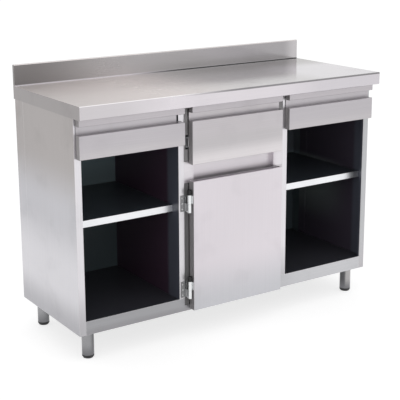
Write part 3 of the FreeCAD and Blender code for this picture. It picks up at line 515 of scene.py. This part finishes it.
def weld_bead(centre):
    """A ring round the tube, whose section's radius varies with the cosine of 40 times the angle."""
    angle, turn = np.meshgrid(np.linspace(0, 2 * np.pi, 240, False), np.linspace(0, 2 * np.pi, 12, False),
                              indexing="ij")
    radius = bead_radius * (1 + bead_swell * np.cos(ripples * angle))
    reach = tube_radius + radius * np.cos(turn)
    return np.stack([centre[0] + reach * np.cos(angle), centre[1] + reach * np.sin(angle),
                     plate_seat - bead_radius + radius * np.sin(turn)], -1)


def foot_cap(centre):
    """A turned profile whose collar is cut back by flutes, as the cosine of 36 times the angle."""
    row, angle = np.meshgrid(np.arange(len(foot_profile)), np.linspace(0, 2 * np.pi, 8 * flutes, False),
                             indexing="ij")
    radius, height = foot_profile[row].transpose(2, 0, 1)
    fluted = (height >= flute_low) & (height <= flute_high)
    reach = radius - flute_depth * fluted * (0.5 + 0.5 * np.cos(flutes * angle))
    return np.stack([centre[0] + reach * np.cos(angle), centre[1] + reach * np.sin(angle), height], -1)


def threaded_stem(centre):
    """A rod whose radius falls and rises with the height and the angle together, one turn to a pitch."""
    height, angle = np.meshgrid(np.linspace(thread_low, thread_high, 140),
                                np.linspace(0, 2 * np.pi, 28, False), indexing="ij")
    reach = stem_radius - thread_depth * (0.5 - 0.5 * np.cos(2 * np.pi * height / thread_pitch - angle))
    thread = np.stack([centre[0] + reach * np.cos(angle), centre[1] + reach * np.sin(angle), height], -1)
    top = thread[-1:].copy()
    top[..., 2] = stem_top
    return np.concatenate([thread, top])


for corner, centre in corners.items():
    surface("weld_bead_" + corner, [weld_bead(centre)], "cabinet", tube_steel, closed=True)
    cap = surface("foot_cap_" + corner, [foot_cap(centre)], "foot_" + corner,
                  black_moulding)
    stem = surface("foot_stem_" + corner, [threaded_stem(centre)], "foot_" + corner,
                   stem_zinc)
    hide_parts("foot_" + corner)
    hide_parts("foot_" + corner)

# --- Worktop --------------------------------------------------------------------------------------------
# One sheet of 1.5 mm stainless steel, ground along its length, glossier than the rest and painted
# brighter, with painted light, shade and reflections across it. It is folded down at the front and both
# ends, and up into the hollow upstand, and stands on two stiffening channels.

dress(("stiffener_front", "stiffener_rear"), floor_steel)
worktop_top = 1.050
flat_top = ("NZ", 0.97, 0.995)
above_top = ("Z", worktop_top + 0.003, worktop_top + 0.006)
upright = ("NZ", 0.6, 0.2)
front_half = ("Y", 0.1, -0.1)
facing_left = ("NX", -0.6, -0.95)
on_front_fold = ("Y", -0.2890, -0.2950)
in_crease = (("Y", 0.280, 0.2835), ("Y", 0.2890, 0.2870), ("Z", 1.0535, 1.0525))
worktop_steel = satin_steel(
    "worktop_steel", (0.605, 0.58, 0.61), "X", roughness=0.13, streak=0.03,
    polish=(0.30, ("X", 0.1, -0.5)),
    shades=[
        # working surface, painted light: right part, left part, left end; and a painted dark reflection
        # along the upstand
        ((0.47, 0.45, 0.455), flat_top, ("X", 0.50, 0.33)),
        ((0.75, 0.67, 0.65), flat_top, ("X", 0.10, -0.35)),
        ((0.89, 0.80, 0.775), flat_top, ("X", 0.00, -0.35), ("Y", -0.02, 0.15)),
        ((0.68, 0.63, 0.61), flat_top, ("X", -0.58, -0.75)),
        ((0.25, 0.235, 0.225), flat_top, ("X", -0.25, 0.20), ("Y", 0.00, 0.20)),
        ((0.16, 0.155, 0.15), flat_top, ("X", -0.20, 0.05), ("Y", 0.268, 0.274)),
        # front lip and its left and right ends, painted light; the left side lip, painted shade
        ((0.755, 0.715, 0.75), upright, front_half),
        ((0.65, 0.62, 0.64), upright, front_half, ("X", -0.3, -0.6)),
        ((0.67, 0.64, 0.675), upright, front_half, ("X", 0.1, 0.5)),
        ((0.335, 0.315, 0.315), facing_left),
        # upstand, painted shade, then its left part, its right part and its right end
        ((0.46, 0.445, 0.45), above_top),
        ((0.25, 0.24, 0.24), above_top, ("X", -0.20, -0.70)),
        ((0.39, 0.375, 0.385), above_top, ("X", 0.0, 0.5)),
        ((0.56, 0.54, 0.55), above_top, ("X", 0.66, 0.74)),
        # bends: painted highlight facing the light, painted shade facing away and in the crease
        ((0.90, 0.87, 0.88), ("NZ", 0.45, 0.6), on_front_fold, ("X", 0.1, -0.2)),
        ((0.26, 0.25, 0.26), on_front_fold, ("Z", 1.0425, 1.0440), ("X", -0.35, 0.0)),
        ((0.75, 0.70, 0.69), ("NZ", 0.97, 0.90), ("NZ", 0.2, 0.3), ("Y", 0.27, 0.28), above_top),
        ((0.07, 0.07, 0.07), *in_crease, ("X", -0.25, 0.1)),
        # rear face, painted shade darker towards its top
        ((0.50, 0.485, 0.495), facing_back),
        ((0.42, 0.41, 0.415), facing_back, ("Z", 1.04, 1.13))],
    # painted light: a matt pinkish glow over the working surface, growing towards the left
    rooms=[((0.66, 0.60, 0.585), flat_top, ("X", 0.3, -1.2))])
dress(("worktop",), worktop_steel)

# --- Drawers --------------------------------------------------------------------------------------------
# Each front is one folded sheet with a finger groove under its top hem. It is screwed to a folded tray
# with a rolled rim, which runs on zinc-plated telescopic runners.

in_groove = ("Y", -0.2640, -0.2520)
# Painted light and shade: the centre front and the lower faces lighter, the hem painted its own tone, the
# groove painted dark as painted shade, and the left side faces painted dull grey shade.
front_steel = satin_steel(
    "front_steel", (0.53, 0.505, 0.53), "X",
    [((0.58, 0.55, 0.57), ("AX", 0.26, 0.24)),
     ((0.57, 0.545, 0.56), ("Z", 0.89, 0.84)),
     ((0.76, 0.725, 0.74), ("Z", 0.83, 0.765)),
     ((0.535, 0.505, 0.53), ("Z", 0.960, 0.968)),
     ((0.42, 0.40, 0.42), in_groove, ("Z", 0.950, 0.933), ("Z", 0.92, 0.931))],
    rooms=[((0.40, 0.38, 0.385), facing_left)])
dress(["drawer_front_" + bay for bay in ("left", "centre", "right")], front_steel)
tray_steel = satin_steel("tray_steel", (0.56, 0.55, 0.56), "Y")
runner_zinc = satin_steel("runner_zinc", (0.50, 0.52, 0.55), "Y")
screw_steel = satin_steel("screw_steel", (0.62, 0.62, 0.63), "X", roughness=0.25)
rim_radius = 0.0016
rim_bend = 0.004


def rolled_rim(left, right, front, back, height):
    """A bead round the rim: a circle carried along a rectangle whose corners are arcs of 8 points."""
    corner_x = np.array([right - rim_bend, left + rim_bend, left + rim_bend, right - rim_bend])
    corner_y = np.array([back - rim_bend, back - rim_bend, front + rim_bend, front + rim_bend])
    heading = (np.arange(4)[:, None] * np.pi / 2 + np.linspace(0, np.pi / 2, 8)).ravel()
    across = np.repeat(corner_x, 8)
    along = np.repeat(corner_y, 8)
    turn = np.linspace(0, 2 * np.pi, 12, False)
    reach = (rim_bend - rim_radius) + rim_radius * np.cos(turn)
    return np.stack([across[:, None] + reach * np.cos(heading)[:, None],
                     along[:, None] + reach * np.sin(heading)[:, None],
                     height + rim_radius * np.sin(turn) + 0 * heading[:, None]], -1)


# Shares of a screw head's radius.
dome_rise = 0.42
recess_depth = 0.26
recess_half_width = 0.13
recess_reach = 0.58
head_sunk = 0.1


def screw_heads(places, facing, radius):
    """Pan heads with a cross recess.

    A head is a polar grid. Its height is that of a flattened dome, (1 - r^4), less the depth of the recess
    where the point lies near one of two crossed lines. facing is the sign and the axis that it looks along.
    """
    share, angle = np.meshgrid(np.linspace(1, 0.02, 22), np.linspace(0, 2 * np.pi, 48, False),
                               indexing="ij")
    first = share * np.cos(angle)
    second = share * np.sin(angle)
    narrow = np.minimum(np.abs(first), np.abs(second))
    wide = np.maximum(np.abs(first), np.abs(second))
    recess = (np.clip((recess_half_width - narrow) / 0.05, 0, 1)
              * np.clip((recess_reach - wide) / 0.08, 0, 1))
    rise = radius * (dome_rise * (1 - share ** 4) - recess_depth * recess)
    base = np.stack([first[0], second[0], 0 * first[0] - head_sunk], -1)[None] * radius
    head = np.concatenate([base, np.stack([radius * first, radius * second, rise], -1)])
    axis = "XYZ".index(facing[1])
    sign = 1 if facing[0] == "+" else -1
    turned = np.empty_like(head)
    turned[..., axis] = sign * head[..., 2]
    turned[..., (axis + 1) % 3] = head[..., 0]
    turned[..., (axis + 2) % 3] = head[..., 1]
    return [turned + np.array(place) for place in places]


tray_front = -0.2405
tray_back = 0.2095
tray_rim = 0.950
trays = {
    # bay: left wall, right wall, floor
    "left": (-0.7061, -0.2914, 0.850),
    "centre": (-0.2294, 0.2294, 0.764),
    "right": (0.2914, 0.7061, 0.850)}
screws_across = (0.12, 0.5, 0.88)
screws_above_floor = 0.020
screws_below_rim = 0.022
front_screw_radius = 0.0045
for bay, (tray_left, tray_right, tray_floor) in trays.items():
    dress(("drawer_tray_" + bay,), tray_steel)
    for side in ("left", "right"):
        dress((f"runner_outer_{bay}_{side}", f"runner_middle_{bay}_{side}"), runner_zinc, 0.0002)
    surface("tray_rim_" + bay, [rolled_rim(tray_left, tray_right, tray_front, tray_back, tray_rim)],
            "drawer_" + bay, tray_steel, closed=True)
    tray_span = tray_right - tray_left
    fixings = [(tray_left + share * tray_span, tray_front + sheet, height)
               for share in screws_across
               for height in (tray_floor + screws_above_floor, tray_rim - screws_below_rim)]
    surface("front_screws_" + bay, screw_heads(fixings, "+Y", front_screw_radius), "drawer_" + bay,
            screw_steel)
dress(["runner_spacer_" + place for place in ("left_left", "centre_left", "centre_right", "right_right")],
      floor_steel, edge_material=shell_edge)

# --- Door -----------------------------------------------------------------------------------------------
# A flat pan with a grip channel in its top edge, closed at the back by a liner that stands into the
# opening. A steel strike plate on the liner meets the catch.

# Painted shade: the door is painted bluish and darker towards its foot, and dull grey on its left side
# faces.
door_steel = satin_steel(
    "door_steel", (0.75, 0.705, 0.745), "Z", streak=0.03,
    shades=[((0.58, 0.58, 0.61), ("Z", 0.36, 0.13))],
    rooms=[((0.36, 0.345, 0.355), facing_left)])
dress(("door_skin", "door_liner"), door_steel)
dress(("strike_plate",), runner_zinc, 0.0003)

# --- Hinges ---------------------------------------------------------------------------------------------
# Two chromed lift-off hinges: a knuckle with pin and leaf screwed to the divider's flange, a sleeve welded
# to a leaf on the door's side, and a black cap over the pin.

# The leaves on the frame are painted dark as painted shade.
on_frame_leaf = ("X", -0.2478, -0.2488)
hinge_chrome = satin_steel("hinge_chrome", (0.86, 0.87, 0.88), "Z", roughness=0.12, streak=0.02,
                           shades=[((0.22, 0.22, 0.225), on_frame_leaf)])
leaf_gauge = 0.003
leaf_face = frame_plane - leaf_gauge
leaf_screw_across = -0.2640
leaf_screw_rises = (0.014, 0.037, 0.060)
leaf_screw_radius = 0.0036
hinge_bases = {"upper": 0.551, "lower": 0.178}
for level, hinge_base in hinge_bases.items():
    dress(("hinge_frame_" + level, "hinge_door_" + level), hinge_chrome, 0)
    dress(("hinge_cap_" + level,), black_moulding, 0)
    leaf_places = [(leaf_screw_across, leaf_face, hinge_base + rise) for rise in leaf_screw_rises]
    surface("hinge_screws_" + level, screw_heads(leaf_places, "-Y", leaf_screw_radius), "cabinet",
            screw_steel)

# --- Catch ----------------------------------------------------------------------------------------------
# A magnetic catch in a pale grey housing, screwed up under the crossbar, with two steel pole strips that
# the strike plate meets.

catch_grey = moulded("catch_grey", (0.62, 0.62, 0.61), 0.4)
dress(("magnetic_catch",), catch_grey, 0.0008, edge_material=catch_grey)
pole_sides = ((0.158, 0.164), (0.182, 0.188))
pole_front, pole_back = -0.2186, -0.2180
pole_low, pole_high = 0.6435, 0.6565


def upright_strip(low, high):
    """A strip between two corners: a rounded square in X and Y, carried up along Z."""
    low = np.array(low)
    high = np.array(high)
    height, angle = np.meshgrid((low[2], high[2]), np.linspace(0, 2 * np.pi, 24, False), indexing="ij")
    cosine, sine = rounded(0.35, angle)
    middle = (low + high) / 2
    half = (high - low) / 2
    return np.stack([middle[0] + half[0] * cosine, middle[1] + half[1] * sine, height], -1)


pole_strips = [upright_strip((left, pole_front, pole_low), (right, pole_back, pole_high))
               for left, right in pole_sides]
surface("catch_poles", pole_strips, "cabinet", runner_zinc)
